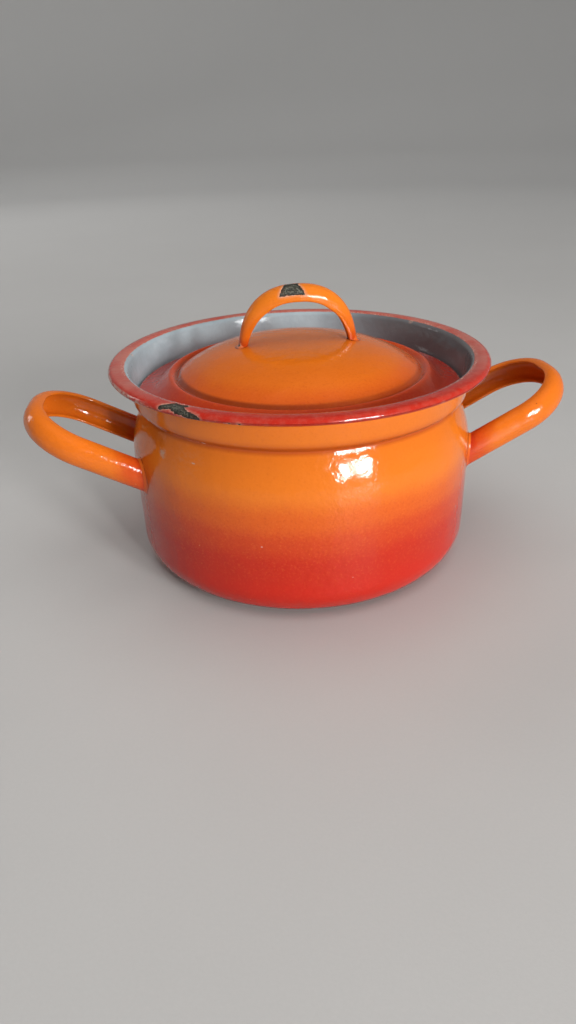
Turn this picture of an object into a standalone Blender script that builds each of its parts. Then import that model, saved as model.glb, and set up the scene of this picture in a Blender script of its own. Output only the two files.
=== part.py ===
"""Enamelled sheet-steel casserole, 18 cm: a lidded stew pot with two loop handles.

The pot stands on its base at z = 0 with its axis on Z, and the loop handles lie along X.
Every piece is formed from thin sheet, and the handles are welded on before enamelling.
"""

import math

import bmesh
import bpy
from mathutils import Vector

MM = 0.001
TURN_STEPS = 48
FILLET_STEPS = 3
SHEET = 1.6 * MM
GAP = 0.3 * MM
WELD_DEPTH = 1.2 * MM
WELD_GROW = 0.8 * MM

# Pot, as radius and height.
WALL_RADIUS = 92.05 * MM
WALL_BULGE_HEIGHT = 58.0 * MM
WALL_FOOT_RADIUS = 91.1 * MM
BASE_FILLET = 17.0 * MM
BASE_RING_RADIUS = 62.0 * MM
BASE_RECESS = 0.8 * MM
SHOULDER_HEIGHT = 70.9 * MM
SHOULDER_FILLET = 42.0 * MM
GROOVE_RADIUS = 84.7 * MM
GROOVE_HEIGHT = 88.8 * MM
COLLAR_FOOT_RADIUS = 88.9 * MM
COLLAR_FOOT_HEIGHT = 92.2 * MM
COLLAR_TOP_RADIUS = 91.5 * MM
COLLAR_TOP_HEIGHT = 108.2 * MM
NECK_RADIUS = 82.9 * MM
NECK_HEIGHT = 89.3 * MM
SEAT_RADIUS = 87.45 * MM
SEAT_HEIGHT = 92.75 * MM
RIM_RADIUS = 100.0 * MM
RIM_HEIGHT = 110.4 * MM
RIM_INNER_RADIUS = 90.25 * MM
RIM_LIP_WIDTH = 4.0 * MM
RIM_LIP_HEIGHT = 106.6 * MM

# Lid.
LID_RADIUS = 86.66 * MM
LID_EDGE_TOP = 94.5 * MM
LID_HEM_WIDTH = 2.76 * MM
LID_HEM_HEIGHT = 2.35 * MM
LID_SHEET = 1.5 * MM
FLANGE_BREAK_RADIUS = 77.5 * MM
FLANGE_BREAK_HEIGHT = 96.2 * MM
RIDGE_RADIUS = 68.4 * MM
RIDGE_HEIGHT = 103.3 * MM
VALLEY_RADIUS = 65.4 * MM
VALLEY_HEIGHT = 101.4 * MM
DOME_RADIUS = 63.6 * MM
DOME_FOOT_HEIGHT = 102.6 * MM
DOME_RISE = 14.0 * MM
DOME_POWER = 2.6
DOME_STEPS = 8
LID_TRAVEL_AXIS = Vector((0.0, 0.0, 1.0))

# Loop handles on the pot.
LOOP_ROOT_RADIUS = 93.4 * MM
LOOP_ROOT_HEIGHT = 62.2 * MM
LOOP_TILT = math.radians(28.0)
LOOP_HALF_WIDTH = 32.3 * MM
LOOP_REACH = 55.3 * MM
LOOP_CORNER = 29.0 * MM
LOOP_SECTION_HALF = 7.7 * MM
LOOP_SECTION_DEPTH = 6.8 * MM
LOOP_STEPS = 9
LOOP_LEG_STEPS = 5
LOOP_OVERRUN = 16.0 * MM

# Bow handle on the lid.
BOW_HALF_SPAN = 31.5 * MM
BOW_FOOT_HEIGHT = 110.0 * MM
BOW_CREST_HEIGHT = 145.7 * MM
BOW_POWER = 2.35
BOW_STEPS = 16
BOW_CROWN_WIDTH = 15.0 * MM
BOW_FOOT_WIDTH = 5.6 * MM
BOW_CROWN_DEPTH = 7.2 * MM
BOW_FOOT_DEPTH = 4.0 * MM
BOW_SHEET = 1.5 * MM
SECTION_STEPS = 8
SECTION_POWER = 0.8


def clear_scene():
    for obj in list(bpy.data.objects):
        bpy.data.objects.remove(obj, do_unlink=True)


def make_collection(name):
    collection = bpy.data.collections.new(name)
    bpy.context.scene.collection.children.link(collection)
    return collection


def enamel(name, colour, roughness):
    """A glossy vitreous coat: not metallic, with a thin clear layer over its colour."""
    material = bpy.data.materials.new(name)
    material.use_nodes = True
    shader = material.node_tree.nodes["Principled BSDF"]
    shader.inputs["Base Color"].default_value = (*colour, 1.0)
    shader.inputs["Roughness"].default_value = roughness
    shader.inputs["Metallic"].default_value = 0.0
    shader.inputs["Coat Weight"].default_value = 0.6
    return material


def new_object(name, mesh, collection, material=None):
    obj = bpy.data.objects.new(name, mesh)
    collection.objects.link(obj)
    if material is not None:
        mesh.materials.append(material)
    return obj


def make_cutter(obj):
    obj.hide_render = True
    obj.display_type = "WIRE"
    return obj


def add_boolean(obj, cutter, operation):
    modifier = obj.modifiers.new(operation.lower(), "BOOLEAN")
    modifier.operation = operation
    modifier.solver = "EXACT"
    modifier.object = cutter


def fillet_steps(fillet, sweep):
    """One more chord on a large fillet that turns far, and more on the very large ones."""
    if fillet > 14.0 * MM:
        return 2 * FILLET_STEPS
    far = fillet > 1.5 * MM and sweep > math.radians(50.0)
    return FILLET_STEPS if far else FILLET_STEPS - 1


def rounded_path(corners):
    """Points (radius, height) along the corners, each (radius, height, fillet)."""
    path = []
    last = len(corners) - 1
    for index, (radius, height, fillet) in enumerate(corners):
        corner = Vector((radius, height))
        if index in (0, last) or fillet <= 0.0:
            path.append(corner)
            continue
        before = (Vector(corners[index - 1][:2]) - corner).normalized()
        after = (Vector(corners[index + 1][:2]) - corner).normalized()
        half_angle = before.angle(after) / 2.0
        setback = fillet / math.tan(half_angle)
        centre = corner + (before + after).normalized() * (fillet / math.sin(half_angle))
        start = corner + before * setback - centre
        end = corner + after * setback - centre
        sweep = start.angle(end)
        steps = fillet_steps(fillet, sweep)
        for step in range(steps + 1):
            share = step / steps
            near = math.sin((1.0 - share) * sweep) / math.sin(sweep)
            far = math.sin(share * sweep) / math.sin(sweep)
            path.append(centre + start * near + end * far)
    return path


def offset_path(path, distance):
    """The path moved by the distance to its right-hand side, point by point."""
    moved = []
    for index, point in enumerate(path):
        before = path[max(index - 1, 0)]
        after = path[min(index + 1, len(path) - 1)]
        along = (after - before).normalized()
        moved.append(point + Vector((along.y, -along.x)) * distance)
    return moved


def turned(name, path, collection, material=None, steps=TURN_STEPS):
    """A body of revolution about Z from a profile at +X, as a Screw modifier."""
    work = bmesh.new()
    points = [work.verts.new((radius, 0.0, height)) for radius, height in path]
    for first, second in zip(points, points[1:]):
        work.edges.new((first, second))
    mesh = bpy.data.meshes.new(name)
    work.to_mesh(mesh)
    work.free()
    obj = new_object(name, mesh, collection, material)
    screw = obj.modifiers.new("turn", "SCREW")
    screw.axis = "Z"
    screw.angle = 2.0 * math.pi
    screw.steps = steps
    screw.render_steps = steps
    screw.use_merge_vertices = True
    screw.merge_threshold = 0.00001
    screw.use_smooth_shade = True
    return obj


def pot_profile():
    """From the middle of the floor up the inside, over the rolled rim and down the outside."""
    wall_inner = WALL_RADIUS - SHEET
    inside = [
        (0.0, BASE_RECESS + SHEET, 0.0),
        (BASE_RING_RADIUS - 4.0 * MM, BASE_RECESS + SHEET, 0.0),
        (BASE_RING_RADIUS, SHEET, 0.0),
        (WALL_FOOT_RADIUS - SHEET, SHEET, BASE_FILLET - SHEET),
        (wall_inner, WALL_BULGE_HEIGHT, 0.0),
        (wall_inner, SHOULDER_HEIGHT - 0.3 * MM, SHOULDER_FILLET - SHEET),
        (NECK_RADIUS, NECK_HEIGHT, 2.4 * MM),
        (SEAT_RADIUS, SEAT_HEIGHT, 1.0 * MM),
        (RIM_INNER_RADIUS, RIM_HEIGHT, 0.9 * MM),
        (RIM_RADIUS, RIM_HEIGHT, 2.6 * MM),
        (RIM_RADIUS, RIM_LIP_HEIGHT, 1.1 * MM),
        (RIM_RADIUS - RIM_LIP_WIDTH, RIM_LIP_HEIGHT, 1.1 * MM),
        (RIM_RADIUS - RIM_LIP_WIDTH - 0.6 * MM, COLLAR_TOP_HEIGHT, 0.4 * MM),
        (COLLAR_TOP_RADIUS, COLLAR_TOP_HEIGHT, 1.2 * MM),
        (COLLAR_FOOT_RADIUS, COLLAR_FOOT_HEIGHT, 3.0 * MM),
        (GROOVE_RADIUS, GROOVE_HEIGHT, 1.0 * MM),
        (WALL_RADIUS, SHOULDER_HEIGHT, SHOULDER_FILLET),
        (WALL_RADIUS, WALL_BULGE_HEIGHT, 0.0),
        (WALL_FOOT_RADIUS, 0.0, BASE_FILLET),
        (BASE_RING_RADIUS, 0.0, 0.0),
        (BASE_RING_RADIUS - 4.0 * MM, BASE_RECESS, 0.0),
        (0.0, BASE_RECESS, 0.0),
    ]
    return rounded_path(inside)


def dome_height(radius):
    """Height of the lid's outer face at a radius inside the dome."""
    share = min(radius / DOME_RADIUS, 1.0)
    return DOME_FOOT_HEIGHT + DOME_RISE * (1.0 - share**DOME_POWER)


def dome_path():
    radii = [DOME_RADIUS * step / DOME_STEPS for step in range(DOME_STEPS + 1)]
    return [Vector((radius, dome_height(radius))) for radius in radii]


def lid_profile():
    """From the middle of the dome out to the hemmed edge, then back along the underside."""
    hem_inner = LID_RADIUS - LID_HEM_WIDTH
    hem_bottom = LID_EDGE_TOP - LID_HEM_HEIGHT
    flange = [
        (DOME_RADIUS, DOME_FOOT_HEIGHT, 0.0),
        (VALLEY_RADIUS, VALLEY_HEIGHT, 0.9 * MM),
        (RIDGE_RADIUS, RIDGE_HEIGHT, 2.0 * MM),
        (FLANGE_BREAK_RADIUS, FLANGE_BREAK_HEIGHT, 12.0 * MM),
        (LID_RADIUS - 3.0 * MM, LID_EDGE_TOP + 0.35 * MM, 0.0),
    ]
    face = dome_path() + rounded_path(flange)[1:]
    under = offset_path(face, LID_SHEET)
    under[0].x = 0.0
    hem = [
        (LID_RADIUS - 3.0 * MM, LID_EDGE_TOP + 0.35 * MM, 0.0),
        (LID_RADIUS, LID_EDGE_TOP, 1.1 * MM),
        (LID_RADIUS, hem_bottom, 1.1 * MM),
        (hem_inner, hem_bottom, 0.8 * MM),
        (under[-1].x, under[-1].y, 0.0),
    ]
    return face + rounded_path(hem)[1:-1] + under[::-1]


def section_points(half_height, depth, steps=SECTION_STEPS):
    """Outer line of an open half-round channel, as (outward, across), lip to lip."""
    points = []
    for step in range(steps + 1):
        angle = math.pi * (step / steps - 0.5)
        bulge = max(math.cos(angle), 0.0) ** SECTION_POWER
        points.append((depth * (bulge - 0.5), half_height * math.sin(angle)))
    return points


def loft_strap(name, stations, collection, material=None):
    """An open channel face: each station is (centre, outward, across, half height, depth)."""
    work = bmesh.new()
    rows = []
    for centre, outward, across, half_height, depth in stations:
        line = section_points(half_height, depth)
        rows.append([work.verts.new(centre + outward * u + across * v) for u, v in line])
    for row, following in zip(rows, rows[1:]):
        for index in range(SECTION_STEPS):
            corners = (row[index], row[index + 1], following[index + 1], following[index])
            work.faces.new(corners)
    for face in work.faces:
        face.smooth = True
    mesh = bpy.data.meshes.new(name)
    work.to_mesh(mesh)
    work.free()
    return new_object(name, mesh, collection, material)


def loop_stations(side, end, grow=0.0):
    """Half of a loop handle from its tip to inside the wall; end is +1 or -1 along Y."""
    out = Vector((side * math.cos(LOOP_TILT), 0.0, math.sin(LOOP_TILT)))
    across = Vector((-side * math.sin(LOOP_TILT), 0.0, math.cos(LOOP_TILT)))
    sideways = Vector((0.0, float(end), 0.0))
    root = Vector((side * LOOP_ROOT_RADIUS, 0.0, LOOP_ROOT_HEIGHT))
    bend_reach = LOOP_REACH - LOOP_CORNER
    bend_width = LOOP_HALF_WIDTH - LOOP_CORNER
    half_height = LOOP_SECTION_HALF + grow
    depth = LOOP_SECTION_DEPTH + 1.5 * grow
    stations = [(root + out * LOOP_REACH, out, across, half_height, depth)]
    for step in range(LOOP_STEPS + 1):
        angle = 0.5 * math.pi * step / LOOP_STEPS
        outward = out * math.cos(angle) + sideways * math.sin(angle)
        middle = root + out * bend_reach + sideways * bend_width
        stations.append((middle + outward * LOOP_CORNER, outward, across, half_height, depth))
    for step in range(1, LOOP_LEG_STEPS + 1):
        reach = bend_reach - (bend_reach + LOOP_OVERRUN) * step / LOOP_LEG_STEPS
        middle = root + out * reach + sideways * LOOP_HALF_WIDTH
        stations.append((middle, sideways, across, half_height, depth))
    return stations


def shell_thickness(obj, thickness, offset):
    solidify = obj.modifiers.new("sheet", "SOLIDIFY")
    solidify.thickness = thickness
    solidify.offset = offset
    solidify.use_even_offset = True
    solidify.use_rim = True


def recalculate_outward(obj, flip):
    work = bmesh.new()
    work.from_mesh(obj.data)
    if flip:
        bmesh.ops.reverse_faces(work, faces=work.faces[:])
    work.to_mesh(obj.data)
    work.free()


def wall_cutter(name, offset, collection):
    """A plug with the outside shape of the pot wall, grown by the offset."""
    low = 34.0 * MM
    low_share = (WALL_BULGE_HEIGHT - low) / WALL_BULGE_HEIGHT
    low_radius = WALL_RADIUS - (WALL_RADIUS - WALL_FOOT_RADIUS) * low_share
    wall = [
        (GROOVE_RADIUS, GROOVE_HEIGHT, 0.0),
        (WALL_RADIUS, SHOULDER_HEIGHT, SHOULDER_FILLET),
        (WALL_RADIUS, WALL_BULGE_HEIGHT, 0.0),
        (low_radius, low, 0.0),
    ]
    face = offset_path(rounded_path(wall), -offset)
    ends = [(0.0, face[0].y)], [(0.0, face[-1].y)]
    path = ends[0] + [tuple(point) for point in face] + ends[1]
    return make_cutter(turned(name, path, collection))


def dome_cutter(name, offset, collection):
    """A plug with the outside shape of the lid's dome, grown by the offset."""
    face = offset_path(dome_path()[:-1], -offset)
    face[0].x = 0.0
    low = 104.0 * MM
    path = [tuple(point) for point in face] + [(face[-1].x, low), (0.0, low)]
    return make_cutter(turned(name, path, collection))


def make_loop_handle(name, side, wall, collection, material):
    obj = loft_strap(name, loop_stations(side, 1), collection, material)
    recalculate_outward(obj, side < 0)
    mirror = obj.modifiers.new("mirror", "MIRROR")
    mirror.use_axis = (False, True, False)
    mirror.merge_threshold = 0.00001
    shell_thickness(obj, SHEET, -1.0)
    add_boolean(obj, wall, "DIFFERENCE")
    return obj


def make_loop_weld(name, side, end, cutters, collection, material):
    """The weld bead round the end of one leg, between the sheet of the leg and the wall."""
    obj = loft_strap(name, loop_stations(side, end, WELD_GROW), collection, material)
    recalculate_outward(obj, side * end < 0)
    shell_thickness(obj, SHEET + 2.0 * WELD_GROW, -1.0)
    add_boolean(obj, cutters["wall_weld_face"], "INTERSECT")
    add_boolean(obj, cutters["wall_touch_face"], "DIFFERENCE")
    return obj


def bow_point(angle):
    """Crest line of the bow handle, from its left foot over the crown to its right foot."""
    reach = -math.copysign(abs(math.cos(angle)) ** (2.0 / BOW_POWER), math.cos(angle))
    rise = math.sin(angle) ** (2.0 / BOW_POWER)
    height = BOW_FOOT_HEIGHT + (BOW_CREST_HEIGHT - BOW_FOOT_HEIGHT) * rise
    return Vector((BOW_HALF_SPAN * reach, 0.0, height))


def bow_stations(grow=0.0):
    """The right half of the bow handle, from its crown to its foot."""
    fine = [bow_point(0.5 * math.pi * (1.0 + step / 200.0)) for step in range(200)]
    fine.append(Vector((BOW_HALF_SPAN, 0.0, BOW_FOOT_HEIGHT)))
    lengths = [0.0]
    for first, second in zip(fine, fine[1:]):
        lengths.append(lengths[-1] + (second - first).length)
    total = lengths[-1]
    across = Vector((0.0, 1.0, 0.0))
    stations = []
    index = 0
    for step in range(BOW_STEPS + 1):
        target = total * step / BOW_STEPS
        while index < len(fine) - 2 and lengths[index + 1] < target:
            index += 1
        share = (target - lengths[index]) / (lengths[index + 1] - lengths[index])
        crest = fine[index].lerp(fine[index + 1], share)
        if step == 0:
            along = Vector((1.0, 0.0, 0.0))
        else:
            along = (fine[index + 1] - fine[index]).normalized()
        outward = Vector((-along.z, 0.0, along.x))
        taper = math.cos(0.5 * math.pi * step / BOW_STEPS) ** 0.8 if step < BOW_STEPS else 0.0
        half_width = 0.5 * (BOW_FOOT_WIDTH + (BOW_CROWN_WIDTH - BOW_FOOT_WIDTH) * taper)
        deep_share = min(1.0, 2.0 * taper)
        depth = BOW_FOOT_DEPTH + (BOW_CROWN_DEPTH - BOW_FOOT_DEPTH) * deep_share
        centre = crest - outward * (0.5 * depth)
        depth_out = depth + 1.5 * grow
        stations.append((centre, outward, across, half_width + grow, depth_out))
    return stations


def make_bow_handle(name, dome, collection, material):
    obj = loft_strap(name, bow_stations(), collection, material)
    recalculate_outward(obj, True)
    mirror = obj.modifiers.new("mirror", "MIRROR")
    mirror.use_axis = (True, False, False)
    mirror.merge_threshold = 0.00001
    shell_thickness(obj, BOW_SHEET, -1.0)
    add_boolean(obj, dome, "DIFFERENCE")
    return obj


def make_bow_weld(name, side, cutters, collection, material):
    """The round weld bead under one foot of the bow handle, cut to the dome's curve."""
    bpy.ops.mesh.primitive_cylinder_add(vertices=24, radius=1.0, depth=1.0)
    obj = bpy.context.object
    obj.name = name
    obj.data.name = name
    middle = BOW_HALF_SPAN - 0.5 * BOW_FOOT_DEPTH
    for vertex in obj.data.vertices:
        vertex.co.x = side * middle + vertex.co.x * (0.5 * BOW_FOOT_DEPTH + 1.2 * MM)
        vertex.co.y = vertex.co.y * (0.5 * BOW_FOOT_WIDTH + 1.2 * MM)
        vertex.co.z = dome_height(BOW_HALF_SPAN) + vertex.co.z * 12.0 * MM
    for owner in list(obj.users_collection):
        owner.objects.unlink(obj)
    collection.objects.link(obj)
    obj.data.materials.append(material)
    add_boolean(obj, cutters["dome_weld_face"], "INTERSECT")
    add_boolean(obj, cutters["dome_touch_face"], "DIFFERENCE")
    return obj


def make_cutters(collection):
    touch = GAP
    weld = GAP + WELD_DEPTH
    clear = weld + GAP
    return {
        "wall_touch_face": wall_cutter("wall_touch_face", touch, collection),
        "wall_weld_face": wall_cutter("wall_weld_face", weld, collection),
        "wall_clear_face": wall_cutter("wall_clear_face", clear, collection),
        "dome_touch_face": dome_cutter("dome_touch_face", touch, collection),
        "dome_weld_face": dome_cutter("dome_weld_face", weld, collection),
        "dome_clear_face": dome_cutter("dome_clear_face", clear, collection),
    }


def parent_all(name, children, collection):
    """An empty on the pot's axis that carries the pieces of one body."""
    empty = bpy.data.objects.new(name, None)
    collection.objects.link(empty)
    for child in children:
        child.parent = empty
    return empty


def main():
    clear_scene()
    parts = make_collection("enamelled_casserole")
    helpers = make_collection("cutters")
    cutters = make_cutters(helpers)

    pot_enamel = enamel("pot_enamel", (0.80, 0.19, 0.02), 0.14)
    lid_enamel = enamel("lid_enamel", (0.72, 0.17, 0.02), 0.14)
    loop_enamel = enamel("loop_enamel", (0.86, 0.24, 0.02), 0.14)
    bow_enamel = enamel("bow_enamel", (0.84, 0.24, 0.02), 0.14)
    weld_enamel = enamel("weld_enamel", (0.66, 0.12, 0.02), 0.22)

    pot_pieces = [turned("pot_body", pot_profile(), parts, pot_enamel)]
    for side_name, side in (("left", -1), ("right", 1)):
        wall = cutters["wall_clear_face"]
        handle = make_loop_handle(side_name + "_handle", side, wall, parts, loop_enamel)
        pot_pieces.append(handle)
        for end_name, end in (("front", -1), ("rear", 1)):
            weld_name = side_name + "_handle_" + end_name + "_weld"
            weld = make_loop_weld(weld_name, side, end, cutters, parts, weld_enamel)
            pot_pieces.append(weld)

    lid_pieces = [turned("lid", lid_profile(), parts, lid_enamel)]
    dome = cutters["dome_clear_face"]
    lid_pieces.append(make_bow_handle("lid_handle", dome, parts, bow_enamel))
    for side_name, side in (("left", -1), ("right", 1)):
        weld_name = "lid_handle_" + side_name + "_weld"
        lid_pieces.append(make_bow_weld(weld_name, side, cutters, parts, weld_enamel))

    parent_all("pot_assembly", pot_pieces, parts)
    parent_all("lid_assembly", lid_pieces, parts)


main()
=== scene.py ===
"""Looks of the enamelled casserole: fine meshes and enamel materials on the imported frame."""

import math

import bmesh
import bpy
import numpy as np
from mathutils import Matrix, Vector


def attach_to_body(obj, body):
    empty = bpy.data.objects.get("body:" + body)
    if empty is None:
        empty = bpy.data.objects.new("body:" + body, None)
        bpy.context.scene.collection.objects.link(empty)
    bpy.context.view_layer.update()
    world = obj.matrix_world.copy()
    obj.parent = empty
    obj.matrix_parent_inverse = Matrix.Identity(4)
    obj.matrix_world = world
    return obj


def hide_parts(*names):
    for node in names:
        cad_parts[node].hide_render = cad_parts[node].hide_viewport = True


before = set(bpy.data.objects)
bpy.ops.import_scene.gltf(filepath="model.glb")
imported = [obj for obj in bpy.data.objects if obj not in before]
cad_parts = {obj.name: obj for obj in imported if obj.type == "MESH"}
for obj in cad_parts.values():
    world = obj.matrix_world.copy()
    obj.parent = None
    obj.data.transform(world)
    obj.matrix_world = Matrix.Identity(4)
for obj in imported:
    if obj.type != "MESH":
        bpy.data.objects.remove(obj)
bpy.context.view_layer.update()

MM = 0.001
SEED = 11

# Pot, in millimetres, as radius and height.
SHEET = 1.6
WALL_RADIUS = 92.05
WALL_BULGE_HEIGHT = 58.0
WALL_FOOT_RADIUS = 91.1
BASE_FILLET = 17.0
BASE_RING_RADIUS = 62.0
BASE_RECESS = 0.8
SHOULDER_HEIGHT = 70.6
SHOULDER_FILLET = 42.0
SHOULDER_START = (92.05, 69.6, 45.0)
SHOULDER_END = (88.02, 82.0, 40.0)
GROOVE = (84.7, 88.8)
COLLAR_FOOT = (88.9, 92.2)
COLLAR_TOP = (91.5, 108.2)
NECK = (82.9, 89.3)
SEAT = (87.45, 92.75)
RIM_RADIUS = 100.0
RIM_HEIGHT = 110.4
RIM_INNER_RADIUS = 90.25
RIM_LIP_HEIGHT = 106.6

# Lid.
LID_RADIUS = 86.66
LID_EDGE_TOP = 94.5
LID_SHEET = 1.5
DOME_RADIUS = 63.6
DOME_FOOT = 102.6
DOME_RISE = 14.0
DOME_POWER = 3.0
VALLEY = (65.6, 100.8)
RIDGE = (68.4, 103.3)
FLANGE_BREAK = (77.5, 96.2)

# Loop handles.
LOOP_ROOT = (93.4, 62.2)
LOOP_TILT = math.radians(28.0)
LOOP_HALF_WIDTH = 32.3
LOOP_REACH = 55.3
LOOP_CORNER = 29.0
LOOP_SECTION = (7.7, 6.8)
WELD_REACH = 1.5

# Bow handle.
BOW_HALF_SPAN = 31.5
BOW_FOOT_HEIGHT = 110.0
BOW_CREST_HEIGHT = 145.7
BOW_POWER = 2.35
BOW_WIDTHS = (15.0, 4.2)
BOW_DEPTHS = (7.2, 2.9)
BOW_TAPER = 1.05
BOW_SHEET = 1.5
BOW_WELD_REACH = 2.1
BOW_WELD_RISE = 2.3
SECTION_POWER = 0.8

TURN = 2.0 * math.pi
# Depth into a chip, in millimetres, of points that are far from any.
NO_CHIP = -5.0
# Mark of the points of a strap's outline that aren't on its outer face.
INSIDE = 99.0

# Fillets wider than this, in millimetres, are drawn with longer steps.
FINE_FILLET = 14.0


# -------------------- mesh helpers


def new_object(name, data):
    obj = bpy.data.objects.new(name, data)
    bpy.context.scene.collection.objects.link(obj)
    return obj


def make_object(name, points, faces, attributes=None):
    """A smooth mesh from points in millimetres, with one float attribute per name."""
    mesh = bpy.data.meshes.new(name)
    mesh.from_pydata((np.asarray(points, float) * MM).tolist(), [], faces)
    mesh.update()
    for key, values in (attributes or {}).items():
        layer = mesh.attributes.new(key, "FLOAT", "POINT")
        layer.data.foreach_set("value", np.asarray(values, np.float32))
    mesh.polygons.foreach_set("use_smooth", [True] * len(mesh.polygons))
    return new_object(name, mesh)


def fine_path(corners, chord=0.6, span=2.5):
    """Points (radius, height) along corners (radius, height, fillet)."""
    path = []
    last = len(corners) - 1
    for index, (radius, height, fillet) in enumerate(corners):
        corner = np.array((radius, height))
        if index in (0, last) or fillet <= 0.0:
            path.append(corner)
            continue
        before = np.array(corners[index - 1][:2]) - corner
        after = np.array(corners[index + 1][:2]) - corner
        before /= np.linalg.norm(before)
        after /= np.linalg.norm(after)
        half_angle = 0.5 * math.acos(np.clip(before @ after, -1.0, 1.0))
        setback = fillet / math.tan(half_angle)
        middle = (before + after) / np.linalg.norm(before + after)
        centre = corner + middle * fillet / math.sin(half_angle)
        start = corner + before * setback - centre
        end = corner + after * setback - centre
        sweep = math.acos(np.clip(start @ end / fillet**2, -1.0, 1.0))
        reach = min(span, chord * max(1.0, (fillet / FINE_FILLET) ** 2))
        steps = max(3, math.ceil(fillet * sweep / reach))
        for step in range(steps + 1):
            share = step / steps
            near = math.sin((1.0 - share) * sweep) / math.sin(sweep)
            far = math.sin(share * sweep) / math.sin(sweep)
            path.append(centre + start * near + end * far)
    dense = [path[0]]
    for point in path[1:]:
        gap = np.linalg.norm(point - dense[-1])
        if gap < 1e-6:
            continue
        pieces = max(1, math.ceil(gap / span))
        first = dense[-1]
        dense += [first + (point - first) * step / pieces for step in range(1, pieces + 1)]
    return np.array(dense)


def right_of(along):
    """Unit normals on the right-hand side of these 2-D directions."""
    return np.stack([along[:, 1], -along[:, 0]], axis=1) / np.linalg.norm(along, axis=1)[:, None]


def points_at(places, lengths, curve):
    """Points of the 2-D curve at these distances along it."""
    return np.stack([np.interp(places, lengths, curve[:, k]) for k in (0, 1)], axis=1)


def path_lengths(path):
    steps = np.linalg.norm(np.diff(path, axis=0), axis=1)
    return np.concatenate([[0.0], np.cumsum(steps)])


def polygon_distance(points, polygon):
    """Signed distance of 2-D points to a closed polygon, positive inside."""
    points = np.asarray(points, float)
    polygon = np.asarray(polygon, float)
    best = np.full(len(points), 1e9)
    inside = np.zeros(len(points), bool)
    for start, end in zip(polygon, np.roll(polygon, -1, axis=0)):
        edge = end - start
        away = points - start
        share = np.clip(away @ edge / (edge @ edge), 0.0, 1.0)
        best = np.minimum(best, np.linalg.norm(away - share[:, None] * edge, axis=1))
        crosses = (start[1] > points[:, 1]) != (end[1] > points[:, 1])
        height = np.where(abs(edge[1]) < 1e-9, 1e-9, edge[1])
        cut = start[0] + (points[:, 1] - start[1]) * edge[0] / height
        inside ^= crosses & (points[:, 0] < cut)
    return np.where(inside, best, -best)


def waves(values, seed, count=9, low=0.4, high=1.6):
    """A smooth, repeatable wobble of the 2-D values, about -1 to 1."""
    maker = np.random.default_rng(seed)
    total = np.zeros(len(values))
    for _ in range(count):
        turn = maker.uniform(0.0, TURN)
        pitch = maker.uniform(low, high)
        phase = maker.uniform(0.0, TURN)
        total += np.sin(pitch * (values @ (math.cos(turn), math.sin(turn))) + phase)
    return total / math.sqrt(count)


def ring_quads(index):
    """Quads between neighbouring rows of point numbers, each row a closed ring."""
    following = np.roll(index, -1, axis=1)
    quads = np.stack([index[:-1], index[1:], following[1:], following[:-1]], axis=-1)
    return quads.reshape(-1, 4).tolist()


def ragged(values, seed):
    """The quick wobble of a chip's edge."""
    return waves(values, seed, low=2.0, high=5.0)


def chip_cut(chip, deep, edge):
    """How far the surface is cut back, in millimetres, at this depth into a chip."""
    return deep * np.clip((chip + 0.1) / edge, 0.0, 1.0)


def lathe(path, angles):
    """Points and quads of a body of revolution; the path starts and ends on the axis."""
    rings = path[1:-1]
    count = len(angles)
    cosines, sines = np.cos(angles), np.sin(angles)
    points = np.empty((len(rings), count, 3))
    points[:, :, 0] = rings[:, :1] * cosines
    points[:, :, 1] = rings[:, :1] * sines
    points[:, :, 2] = rings[:, 1:2]
    points = points.reshape(-1, 3)
    index = np.arange(len(rings) * count).reshape(len(rings), count)
    following = np.roll(index, -1, axis=1)
    faces = ring_quads(index)
    first, last = len(points), len(points) + 1
    faces += [(first, a, b) for a, b in zip(index[0].tolist(), following[0].tolist())]
    faces += [(last, b, a) for a, b in zip(index[-1].tolist(), following[-1].tolist())]
    poles = [(0.0, 0.0, path[0][1]), (0.0, 0.0, path[-1][1])]
    return np.vstack([points, poles]), faces


# Degrees between points round the pot and lid, outside the finer zones.
TURN_STEP = 1.5


def turn_angles(fine_zones):
    """Angles round the turn, closer together inside the zones (low, high, step) in degrees."""
    angles = []
    angle = 0.0
    while angle < 359.999:
        angles.append(angle)
        step = TURN_STEP
        for low, high, fine in fine_zones:
            if low <= angle < high:
                step = fine
        angle += step
    return np.radians(angles)


# -------------------- node helpers


# Share of a speckle pattern's cells that stay empty.
SPECK_SHARE = 0.80
# Size in millimetres of the ragged edge of a scuff.
BLOB_GRAIN = 2.2
GLAZE_IOR = 1.45


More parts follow.
